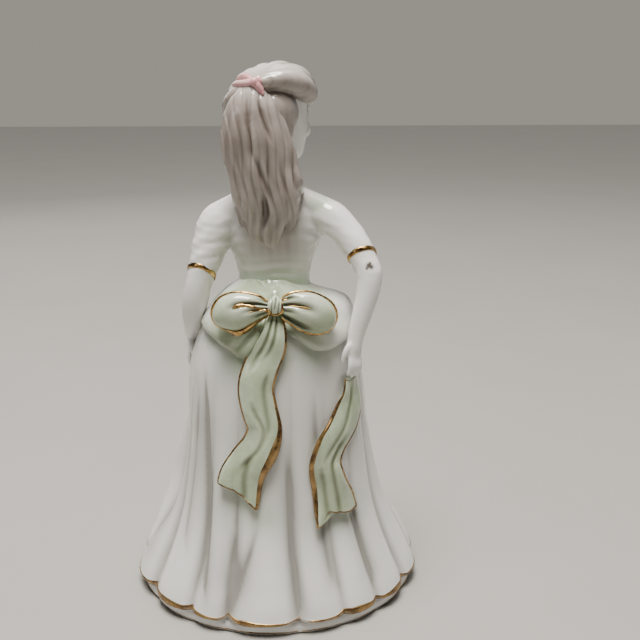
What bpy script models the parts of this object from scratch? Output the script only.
"""A hand bell of glazed porcelain in the shape of a lady in a long gown.

Lengths are written in millimetres and become metres when a mesh is made.
The lady faces -Y, her left side is +X, and the bell stands on z = 0 with its axis on z.
Angles round the bell run from its back (+Y) towards her left (+X).
"""
import math

import bpy
import bmesh
import numpy as np
from mathutils import Vector

MM = 0.001

# ---- driving dimensions, mm ----
GAP = 0.3                      # clearance between neighbouring pieces
RIM_TOP = 3.4                  # height of the foot ring
RIM_OUTER = 40.4
RIM_INNER = 36.8
HEM = 3.7                      # lowest point of the skirt
WAIST = 88.6                   # where the skirt ends and the bodice begins
DEPTH = 0.92                   # front-to-back size over side-to-side size
HEAD_TURN = math.radians(40)   # the head looks over her right shoulder by this much

# height, radius from side to side: the gown outside, and the hollow inside it
SKIRT = [(3.7, 41.7), (7, 40.6), (12, 38.2), (20, 34.2), (27, 31.4), (35, 29.2), (48, 26.8),
         (62, 25.1), (70, 23.8), (75, 22.3), (81, 19.4), (85, 15.2), (88.6, 10.8)]
CAVITY = [(3.7, 38.1), (12, 34.8), (20, 30.9), (27, 28.1), (35, 25.9), (48, 23.5), (64, 21.4),
          (72, 18.6), (77.5, 13.0), (79.5, 7.6)]
# crest angle from the back in degrees, half width in degrees, height at the hem
FOLDS = [(80, 11, 2.0), (53, 9, 1.5), (30, 8, 1.1), (5, 10, 1.7), (-18, 7, 1.4), (-36, 7, 1.5),
         (-54, 7, 1.4), (-76, 9, 1.9), (-100, 10, 1.6), (-124, 9, 1.4), (-146, 9, 1.5),
         (-170, 9, 1.4), (165, 9, 1.5), (142, 9, 1.6), (112, 12, 2.2)]
FOLD_MEAN = 0.75               # taken off the folds so that crests stand out and valleys sink
SWEEP_ANGLE = math.radians(112)   # the gown swings out to her front left
SWEEP_WIDTH = math.radians(24)
SWEEP = [(0, 0.5), (14, 1.5), (24, 2.8), (35, 2.6), (48, 1.2), (62, 0.3), (70, 0)]

THROAT = 7.6                   # radius of the hole at the top of the skirt
PLUG_RADIUS = THROAT - GAP
PLUG_BOTTOM = 79.9
PLUG_TOP = 88.2

WIRE = 0.65                    # radius of the brass wire
STAPLE_LEG = 2.5               # half the distance between the staple's legs
STAPLE_BOTTOM = 72.0           # the link swings front to back about this height
LINK_BOTTOM = 62.0             # the clapper swings side to side about this height
LINK_HALF = 2.6                # half width of the oval link
EYE = 2.3                      # radius of the clapper's eye
BEAD_HEIGHT = 16.0
BEAD_RADIUS = 7.5
BEAD_BORE = WIRE + GAP

AROUND = 72                    # facets round the skirt


# ---- materials ----
def material(name, color, roughness, metallic=0.0):
    made = bpy.data.materials.new(name)
    made.use_nodes = True
    shader = made.node_tree.nodes["Principled BSDF"]
    shader.inputs["Base Color"].default_value = (*color, 1.0)
    shader.inputs["Roughness"].default_value = roughness
    shader.inputs["Metallic"].default_value = metallic
    return made


# ---- general shapes ----
def spline(knots, x):
    """A smooth curve through (x, value) knots."""
    xs = [k[0] for k in knots]
    ys = [k[1] for k in knots]
    if x <= xs[0]:
        return ys[0]
    if x >= xs[-1]:
        return ys[-1]
    i = max(j for j in range(len(xs) - 1) if xs[j] <= x)
    slopes = []
    for j in (i, i + 1):
        low, high = max(j - 1, 0), min(j + 1, len(xs) - 1)
        slopes.append((ys[high] - ys[low]) / (xs[high] - xs[low]))
    step = xs[i + 1] - xs[i]
    t = (x - xs[i]) / step
    return ((2 * t ** 3 - 3 * t ** 2 + 1) * ys[i] + (t ** 3 - 2 * t ** 2 + t) * step * slopes[0]
            + (3 * t ** 2 - 2 * t ** 3) * ys[i + 1] + (t ** 3 - t ** 2) * step * slopes[1])


def solid(name, points, faces, finish):
    """A named object from points in mm, its faces turned outwards."""
    shape = bmesh.new()
    verts = [shape.verts.new([c * MM for c in p]) for p in points]
    for face in faces:
        shape.faces.new([verts[i] for i in face])
    bmesh.ops.recalc_face_normals(shape, faces=shape.faces)
    mesh = bpy.data.meshes.new(name)
    shape.to_mesh(mesh)
    shape.free()
    mesh.shade_smooth()
    mesh.set_sharp_from_angle(angle=math.radians(50))
    mesh.materials.append(finish)
    made = bpy.data.objects.new(name, mesh)
    bpy.context.collection.objects.link(made)
    return made


def loft(name, rings, finish, closed=False):
    """A skin over rings of equal count: closed joins last to first, else both ends are capped."""
    count = len(rings[0])
    points = [p for ring in rings for p in ring]
    faces = []
    spans = len(rings) if closed else len(rings) - 1
    for r in range(spans):
        low, high = r * count, (r + 1) % len(rings) * count
        for i in range(count):
            j = (i + 1) % count
            faces.append((low + i, low + j, high + j, high + i))
    if not closed:
        for start, ring in ((0, rings[0]), ((len(rings) - 1) * count, rings[-1])):
            points.append(tuple(np.mean(ring, axis=0)))
            tip = len(points) - 1
            faces += [(start + i, start + (i + 1) % count, tip) for i in range(count)]
    return solid(name, points, faces, finish)


def frames(path):
    """Direction, side and up vectors along a path, without twist."""
    path = [Vector(p) for p in path]
    up = Vector((0, 0, 1))
    if abs((path[1] - path[0]).normalized().z) > 0.9:
        up = Vector((0, 1, 0))
    result = []
    for i in range(len(path)):
        ahead = (path[min(i + 1, len(path) - 1)] - path[max(i - 1, 0)]).normalized()
        side = ahead.cross(up).normalized()
        up = side.cross(ahead).normalized()
        result.append((path[i], side, up))
    return result


def tube(name, path, radii, finish, sides=12, closed=False):
    """A round rod along a path, with a radius at each point."""
    rings = []
    for (centre, side, up), radius in zip(frames(path), radii):
        rings.append([tuple(centre + radius * (math.cos(a) * side + math.sin(a) * up))
                      for a in turn(sides)])
    return loft(name, rings, finish, closed)


def turn(count):
    return [2 * math.pi * i / count for i in range(count)]


def smooth_path(points, count):
    """Points spaced along a smooth curve through the given ones."""
    last = len(points) - 1
    columns = [[(i, p[axis]) for i, p in enumerate(points)] for axis in range(len(points[0]))]
    return [tuple(spline(column, last * i / (count - 1)) for column in columns)
            for i in range(count)]


def relieve(target, neighbour):
    """Cuts the target back so that it clears its neighbour by the gap."""
    cutter = neighbour.copy()
    cutter.name = "cut_" + target.name + "_" + neighbour.name
    bpy.context.collection.objects.link(cutter)
    swell = cutter.modifiers.new("swell", "DISPLACE")
    swell.strength = GAP * MM
    swell.mid_level = 0.0
    cutter.hide_render = True
    cutter.display_type = "WIRE"
    cut = target.modifiers.new("clear_" + neighbour.name, "BOOLEAN")
    cut.operation = "DIFFERENCE"
    cut.solver = "EXACT"
    cut.object = cutter


# ---- the gown's surface ----
def wrapped(angle):
    return (angle + math.pi) % (2 * math.pi) - math.pi


def fold(angle, height):
    """How far the folds stand out of the plain bell at a place on the gown."""
    total = -FOLD_MEAN
    for crest, width, depth in FOLDS:
        away = wrapped(angle - math.radians(crest)) / math.radians(width)
        total += depth * math.exp(-away * away)
    rise = max(0.0, (80 - height) / (80 - HEM)) ** 1.5
    sweep = wrapped(angle - SWEEP_ANGLE) / SWEEP_WIDTH
    return total * rise + spline(SWEEP, height) * math.exp(-sweep * sweep)


def gown_radius(angle, height):
    return spline(SKIRT, height) + fold(angle, height)


def gown_point(angle, height, proud=0.0):
    """The point on the gown at an angle and height, or one standing proud of it."""
    radius = gown_radius(angle, height) + proud
    return radius * math.sin(angle), radius * DEPTH * math.cos(angle), height


def gown_behind(x, height, proud=0.0):
    """The point on the back of the gown that has this x."""
    angle = 0.0
    for _ in range(12):
        radius = gown_radius(angle, height) + proud
        angle = math.asin(max(-0.98, min(0.98, x / radius)))
    return gown_point(angle, height, proud)


# ---- pieces of the bell ----
def make_foot_rim(glaze):
    section = [(RIM_INNER + 0.6, 0), (RIM_OUTER - 0.8, 0), (RIM_OUTER, 0.9), (RIM_OUTER, RIM_TOP - 0.6),
               (RIM_OUTER - 0.5, RIM_TOP), (RIM_INNER, RIM_TOP), (RIM_INNER, 0.8)]
    rings = []
    for radius, height in section:
        rings.append([(radius * math.sin(a), radius * DEPTH * math.cos(a), height)
                      for a in turn(AROUND)])
    return loft("foot_rim", rings, glaze, closed=True)


def make_skirt(glaze):
    def hem_lift(angle):
        return 1.6 * max(0.0, -fold(angle, HEM) / FOLD_MEAN)

    rings = [[gown_point(a, HEM, proud=-2.4) for a in turn(AROUND)]]
    lowest = []
    for a in turn(AROUND):
        x, y, z = gown_point(a, HEM)
        lowest.append((x, y, z + hem_lift(a)))
    rings.append(lowest)
    for height in (7, 12, 18, 25, 33, 42, 52, 62, 71, 77, 81.5, 85, WAIST):
        rings.append([gown_point(a, height) for a in turn(AROUND)])
    rings.append([(THROAT * math.sin(a), THROAT * math.cos(a), WAIST) for a in turn(AROUND)])
    rings.append([(THROAT * math.sin(a), THROAT * math.cos(a), 79.5) for a in turn(AROUND)])
    for height in (77.5, 72, 64, 48, 35, 27, 20, 12, HEM):
        inner = []
        for a in turn(AROUND):
            radius = spline(CAVITY, height) + 0.5 * fold(a, height)
            inner.append((radius * math.sin(a), radius * DEPTH * math.cos(a), height))
        rings.append(inner)
    return loft("skirt_bell", rings, glaze, closed=True)


def make_plug(plaster):
    section = [(PLUG_RADIUS - 0.6, PLUG_BOTTOM), (PLUG_RADIUS, PLUG_BOTTOM + 0.6),
               (PLUG_RADIUS, PLUG_TOP)]
    rings = [[(r * math.sin(a), r * math.cos(a), z) for a in turn(24)] for r, z in section]
    return loft("waist_plug", rings, plaster)


def make_staple(brass):
    arch = 10
    path = [(STAPLE_LEG, 0, PLUG_BOTTOM + 5.5), (STAPLE_LEG, 0, PLUG_BOTTOM - 1.0)]
    centre = STAPLE_BOTTOM + STAPLE_LEG
    for i in range(arch + 1):
        a = math.pi * i / arch
        path.append((STAPLE_LEG * math.cos(a), 0, centre - STAPLE_LEG * math.sin(a)))
    path += [(-STAPLE_LEG, 0, PLUG_BOTTOM - 1.0), (-STAPLE_LEG, 0, PLUG_BOTTOM + 5.5)]
    return tube("staple", path, [WIRE] * len(path), brass, sides=10)


def make_link(brass):
    clear = 2 * WIRE + GAP
    top, bottom = STAPLE_BOTTOM + clear, LINK_BOTTOM
    bend = 8
    path = []
    for i in range(bend + 1):
        a = math.pi * i / bend
        path.append((0, LINK_HALF * math.cos(a), top - LINK_HALF + LINK_HALF * math.sin(a)))
    for i in range(bend + 1):
        a = math.pi + math.pi * i / bend
        path.append((0, LINK_HALF * math.cos(a), bottom + LINK_HALF + LINK_HALF * math.sin(a)))
    rings = []
    for i, point in enumerate(path):
        ahead = Vector(path[(i + 1) % len(path)]) - Vector(path[i - 1])
        outward = ahead.normalized().cross(Vector((1, 0, 0)))
        rings.append([tuple(Vector(point) + WIRE * (math.cos(a) * outward + Vector((math.sin(a), 0, 0))))
                      for a in turn(8)])
    return loft("chain_link", rings, brass, closed=True)


def make_stem(brass):
    """The clapper's wire: an eye at the top, a straight run through the bead and a flat head."""
    eye_top = LINK_BOTTOM + 2 * WIRE + GAP
    eye_centre = eye_top - EYE
    neck = eye_centre - EYE - 1.2
    start = math.radians(-62)
    path = []
    for i in range(15):
        a = start + math.radians(304) * i / 14
        path.append((EYE * math.cos(a), 0, eye_centre + EYE * math.sin(a)))
    path.reverse()
    path = path[:-1] + [(0.55, 0, eye_centre - EYE - 0.25), (0, 0, neck), (0, 0, neck - 8)]
    foot = BEAD_HEIGHT - BEAD_RADIUS - GAP
    path += [(0, 0, foot + 12), (0, 0, foot)]
    radii = [WIRE] * len(path)
    path += [(0, 0, foot - 0.01), (0, 0, foot - 0.7), (0, 0, foot - 1.0)]
    radii += [1.7, 1.7, 1.1]
    return tube("clapper_stem", path, radii, brass, sides=10)


def make_bead(glaze):
    steps = 12
    low = math.asin(BEAD_BORE / BEAD_RADIUS)
    rings = []
    for i in range(steps + 1):
        a = low + (math.pi - 2 * low) * i / steps
        radius, height = BEAD_RADIUS * math.sin(a), BEAD_HEIGHT - BEAD_RADIUS * math.cos(a)
        rings.append([(radius * math.cos(b), radius * math.sin(b), height) for b in turn(24)])
    return loft("clapper_bead", rings, glaze, closed=True)


# ---- pieces of the figure ----
# height, half width, half depth, middle of the depth
TORSO = [(88.9, 10.4, 7.8, 0), (91, 10.0, 7.4, 0), (94, 10.4, 7.6, 0), (97.5, 11.4, 8.4, -0.4),
         (101, 12.9, 9.4, -0.9), (105, 13.8, 9.8, -1.0), (108.5, 13.6, 9.2, -0.6),
         (111, 12.0, 7.8, 0), (113, 9.4, 6.4, 0.2), (114, 6.4, 5.6, 0.2)]
TORSO_CORE = [(106, 5.0, 4.6, 0), (103, 6.4, 5.4, 0), (94, 6.4, 4.8, 0), (88.9, 6.6, 4.8, 0)]

HEAD_CENTRE = (-1.3, -0.8)
# height, half width, half depth, how far the middle lies towards the face
NECK_AND_HEAD = [(114.3, 5.4, 5.0, -1.4), (117, 4.5, 4.5, -1.2), (121, 4.1, 4.3, -0.8),
                 (124.6, 4.4, 5.0, 0), (126.2, 4.6, 6.2, 2.2), (128, 6.0, 8.0, 2.0),
                 (131, 7.5, 9.6, 1.0), (135, 8.5, 10.4, 0.3), (139, 8.6, 10.5, 0),
                 (143, 7.4, 9.2, -0.2), (146, 5.0, 6.6, -0.3), (147.6, 2.4, 3.2, -0.3)]
HAIR_CROWN = [(128.5, 6.6, 5.0, -5.0), (131, 9.2, 7.6, -3.8), (136, 10.8, 9.4, -2.6),
              (140, 11.3, 10.9, -1.4), (143.5, 11.2, 12.0, 0.2), (146.5, 9.6, 11.2, 0.8),
              (148.7, 7.0, 8.6, 0.4), (150, 3.4, 4.6, 0)]
# height, middle from side to side, half width, middle from front to back, half depth
HAIR_FALL = [(142, 4.8, 5.4, 7.4, 3.4), (138, 4.2, 8.2, 6.8, 5.4), (131, 3.4, 10.0, 6.4, 6.4),
             (124, 3.2, 9.8, 7.0, 5.4), (118, 2.4, 9.4, 8.2, 4.6), (112, 1.8, 8.4, 9.2, 3.8),
             (107.5, 1.2, 6.4, 9.6, 3.0), (104.2, 0.8, 3.0, 9.6, 1.8)]
# x, y, height, radius
RIBBON_BAND = [(10.8, 1.4, 142.9, 1.1), (8.4, 6.3, 144.2, 1.4), (4.4, 9.7, 144.6, 2.3),
               (1.6, 11.4, 142.2, 1.2)]

SLEEVES = {
    "left": [(11.6, 0.4, 109.6, 4.6), (15.2, 0.8, 107.2, 5.6), (17.3, 1.8, 102.0, 5.3),
             (18.9, 3.0, 97.6, 4.7), (20.0, 3.9, 94.0, 4.1)],
    "right": [(-11.6, 0.4, 110.0, 4.6), (-15.4, 1.6, 108.6, 5.4), (-19.6, 4.2, 105.0, 4.7),
              (-22.8, 6.8, 101.0, 4.2), (-24.3, 8.4, 98.2, 3.9)],
}
FOREARMS = {
    "left": [(20.4, 4.2, 93.2, 3.8), (22.2, 4.6, 88.4, 3.9), (23.8, 3.6, 83.4, 3.5),
             (24.4, 0.8, 78.8, 3.0), (24.2, -3.0, 75.0, 2.5)],
    "right": [(-24.8, 8.9, 97.2, 3.6), (-25.8, 10.6, 94.0, 3.7), (-25.0, 12.2, 88.6, 3.2),
              (-23.4, 13.1, 83.0, 2.9), (-22.2, 13.6, 79.0, 2.5)],
}
HANDS = {
    "left": [(24.1, -3.8, 74.2, 2.3), (24.2, -5.8, 71.0, 2.9), (24.2, -7.6, 67.4, 2.8),
             (24.2, -9.0, 63.8, 1.9), (24.0, -9.8, 61.4, 0.9)],
    "right": [(-22.0, 13.8, 78.0, 2.3), (-21.5, 14.2, 75.0, 3.0), (-21.3, 14.7, 71.6, 2.9),
              (-21.1, 15.2, 68.4, 2.1), (-21.0, 15.5, 66.4, 1.0)],
}

KNOT = (-0.2, 19.4, 88.6)
LOOP_REACH = 15.4
# share of the reach, half height, half thickness, rise of the middle
LOOP = [(0.06, 1.6, 1.5, -0.2), (0.22, 3.2, 2.1, -0.8), (0.45, 5.4, 2.7, -1.9),
        (0.68, 6.1, 2.8, -2.8), (0.86, 4.9, 2.3, -3.3), (1.0, 1.6, 1.0, -3.5)]
TAIL_LIFTS_AT = 80.0            # above this height the middle tail rises towards the knot
# x and height of the middle, half width
TAIL_CENTRE = [(0.2, 85.8, 1.8), (1.6, 78.4, 3.4), (4.0, 72.0, 4.2), (5.4, 66.4, 4.6),
               (4.4, 60.4, 4.5), (3.4, 55.4, 4.2), (5.0, 50.4, 4.3), (8.2, 45.6, 4.6),
               (10.7, 41.4, 4.9), (11.9, 37.2, 4.6)]
TAIL_RIGHT = [(-21.2, 62.0, 2.6), (-20.4, 58.4, 3.6), (-18.4, 53.4, 4.2), (-15.2, 48.8, 4.1),
              (-13.4, 44.0, 4.0), (-14.4, 38.6, 4.4), (-15.6, 33.6, 5.2), (-16.3, 30.0, 5.6)]


def ellipse(cx, cy, rx, ry, z, count=24, heading=0.0):
    """A level oval ring, turned about its middle by the heading."""
    c, s = math.cos(heading), math.sin(heading)
    ring = []
    for a in turn(count):
        u, v = rx * math.sin(a), ry * math.cos(a)
        ring.append((cx + u * c - v * s, cy + u * s + v * c, z))
    return ring


def make_bodice(glaze):
    """The torso, cored from below as a slip casting is."""
    rings = [ellipse(0, cy, rx, ry, z) for z, rx, ry, cy in TORSO_CORE + TORSO]
    return loft("bodice", rings, glaze)


def head_rings(sections, count=24):
    """Rings that stand on the head's middle and face the way it looks."""
    rings = []
    for z, wide, deep, ahead in sections:
        cx = HEAD_CENTRE[0] - ahead * math.sin(HEAD_TURN)
        cy = HEAD_CENTRE[1] - ahead * math.cos(HEAD_TURN)
        rings.append(ellipse(cx, cy, wide, deep, z, count, heading=-HEAD_TURN))
    return rings


def limb(name, stations, finish, count=7):
    """A round limb through (x, y, z, radius) stations."""
    dense = smooth_path(stations, count)
    return tube(name, [p[:3] for p in dense], [p[3] for p in dense], finish, sides=12)


def make_bustle(name, start, end, finish):
    """One swag of cloth gathered over the top of the gown, between two angles."""
    across, up = 12, 8
    outer, inner = [], []
    for j in range(up + 1):
        v = j / up
        outer_row, inner_row = [], []
        for i in range(across + 1):
            u = i / across
            angle = math.radians(start + (end - start) * u)
            low = 80.5 - 7.8 * math.sin(math.pi * u) ** 0.7
            height = low + (87.6 - low) * v
            thick = 0.7 + 4.2 * (math.sin(math.pi * u) * math.sin(math.pi * (0.12 + 0.76 * v))) ** 0.6
            inner_row.append(gown_point(angle, height, proud=GAP + 0.15))
            outer_row.append(gown_point(angle, height, proud=GAP + 0.15 + thick))
        outer.append(outer_row)
        inner.append(inner_row)
    return plate(name, outer, inner, finish)


def plate(name, outer, inner, finish):
    """A closed sheet between two grids of points of the same size."""
    rows, columns = len(outer), len(outer[0])
    points = [p for row in outer for p in row] + [p for row in inner for p in row]
    shift = rows * columns
    faces = []
    for r in range(rows - 1):
        for c in range(columns - 1):
            a, b = r * columns + c, (r + 1) * columns + c
            faces.append((a, a + 1, b + 1, b))
            faces.append((shift + a, shift + b, shift + b + 1, shift + a + 1))
    border = [c for c in range(columns)]
    border += [r * columns + columns - 1 for r in range(1, rows)]
    border += [(rows - 1) * columns + c for c in range(columns - 2, -1, -1)]
    border += [r * columns for r in range(rows - 2, 0, -1)]
    for i, a in enumerate(border):
        b = border[(i + 1) % len(border)]
        faces.append((a, shift + a, shift + b, b))
    return solid(name, points, faces, finish)


def make_ribbon_tail(name, stations, finish):
    """A flat ribbon that lies down the back of the gown and ends in a swallow tail."""
    dense = smooth_path(stations, 2 * len(stations))
    outer, inner = [], []
    for i, (x, z, half) in enumerate(dense):
        ahead = Vector(dense[min(i + 1, len(dense) - 1)][:2])
        ahead = (ahead - Vector(dense[max(i - 1, 0)][:2])).normalized()
        side = Vector((-ahead.y, ahead.x))
        last = i == len(dense) - 1
        outer_row, inner_row = [], []
        for step in (-1.0, -0.5, 0.0, 0.5, 1.0):
            notch = -1.6 * (1 - abs(step)) if last else 0.0
            px = x + side.x * half * step + ahead.x * notch
            pz = z + side.y * half * step + ahead.y * notch
            crown = 1.3 + 0.7 * (1 - step * step)
            lift = GAP + 0.15 + 0.5 * max(0.0, pz - TAIL_LIFTS_AT)
            inner_row.append(gown_behind(px, pz, proud=lift))
            outer_row.append(gown_behind(px, pz, proud=lift + crown))
        outer.append(outer_row)
        inner.append(inner_row)
    return plate(name, outer, inner, finish)


def make_loop(name, side, finish):
    rings = []
    for share, tall, thick, drop in LOOP:
        reach = side * LOOP_REACH * share
        cx, cy, cz = KNOT[0] + side * 1.0 + reach, KNOT[1] - 1.0 - 0.03 * abs(reach), KNOT[2] + drop
        rings.append([(cx, cy + thick * math.cos(a), cz + tall * math.sin(a)) for a in turn(16)])
    return loft(name, rings, finish)


def make_knot(finish):
    rings = []
    for i in range(7):
        a = math.pi * (i + 0.5) / 7
        tall = 3.0 * math.cos(a)
        wide, deep = 2.6 * math.sin(a) ** 0.8, 2.4 * math.sin(a) ** 0.8
        rings.append(ellipse(KNOT[0], KNOT[1], wide, deep, KNOT[2] - tall, count=14))
    return loft("bow_knot", rings, finish)


def main():
    for old in list(bpy.data.objects):
        bpy.data.objects.remove(old, do_unlink=True)

    white = material("white_glaze", (0.82, 0.81, 0.78), 0.12)
    green = material("green_glaze", (0.60, 0.68, 0.55), 0.12)
    hair = material("hair_glaze", (0.62, 0.55, 0.53), 0.18)
    pink = material("pink_glaze", (0.72, 0.48, 0.48), 0.15)
    brass = material("brass_wire", (0.72, 0.55, 0.28), 0.30, metallic=1.0)
    plaster = material("plaster", (0.76, 0.74, 0.68), 0.85)

    make_foot_rim(white)
    skirt = make_skirt(white)
    plug = make_plug(plaster)
    staple = make_staple(brass)
    relieve(plug, staple)
    link = make_link(brass)
    stem = make_stem(brass)
    bead = make_bead(white)
    stand_on_joints(staple, link, stem, bead)

    bodice = make_bodice(white)
    head = loft("head", head_rings(NECK_AND_HEAD), white)
    crown = loft("hair_crown", head_rings(HAIR_CROWN), hair)
    relieve(crown, head)
    hair_ribbon = limb("hair_ribbon", RIBBON_BAND, pink, count=9)
    relieve(hair_ribbon, crown)
    fall = loft("hair_fall", [ellipse(cx, cy, rx, ry, z, 18) for z, cx, rx, cy, ry in HAIR_FALL], hair)

    arms = {}
    for side in ("left", "right"):
        sleeve = limb(side + "_sleeve", SLEEVES[side], white)
        relieve(sleeve, bodice)
        relieve(fall, sleeve)
        forearm = limb(side + "_forearm", FOREARMS[side], white)
        relieve(forearm, sleeve)
        relieve(forearm, skirt)
        hand = limb(side + "_hand", HANDS[side], white)
        relieve(hand, forearm)
        relieve(hand, skirt)
        arms[side] = [sleeve, forearm, hand]
    for piece in (head, crown, bodice, hair_ribbon):
        relieve(fall, piece)

    knot = make_knot(green)
    tail = make_ribbon_tail("ribbon_tail_center", TAIL_CENTRE, green)
    relieve(tail, knot)
    make_ribbon_tail("ribbon_tail_right", TAIL_RIGHT, green)
    for name, side, start, end in (("left", 1, 4, 66), ("right", -1, -2, -54)):
        loop = make_loop("bow_loop_" + name, side, green)
        relieve(loop, knot)
        relieve(loop, tail)
        bustle = make_bustle("bustle_" + name, start, end, green)
        for piece in [loop, knot, tail, bodice] + arms[name]:
            relieve(bustle, piece)


def stand_on_joints(staple, link, stem, bead):
    """Puts each moving piece's origin on the axis it swings about."""
    for piece, height in ((link, STAPLE_BOTTOM), (stem, LINK_BOTTOM), (bead, LINK_BOTTOM)):
        for vertex in piece.data.vertices:
            vertex.co.z -= height * MM
        piece.location.z = height * MM
    for piece, holder in ((link, staple), (stem, link), (bead, stem)):
        place = piece.location.copy()
        piece.parent = holder
        piece.location = place - holder.matrix_world.translation
        bpy.context.view_layer.update()


main()
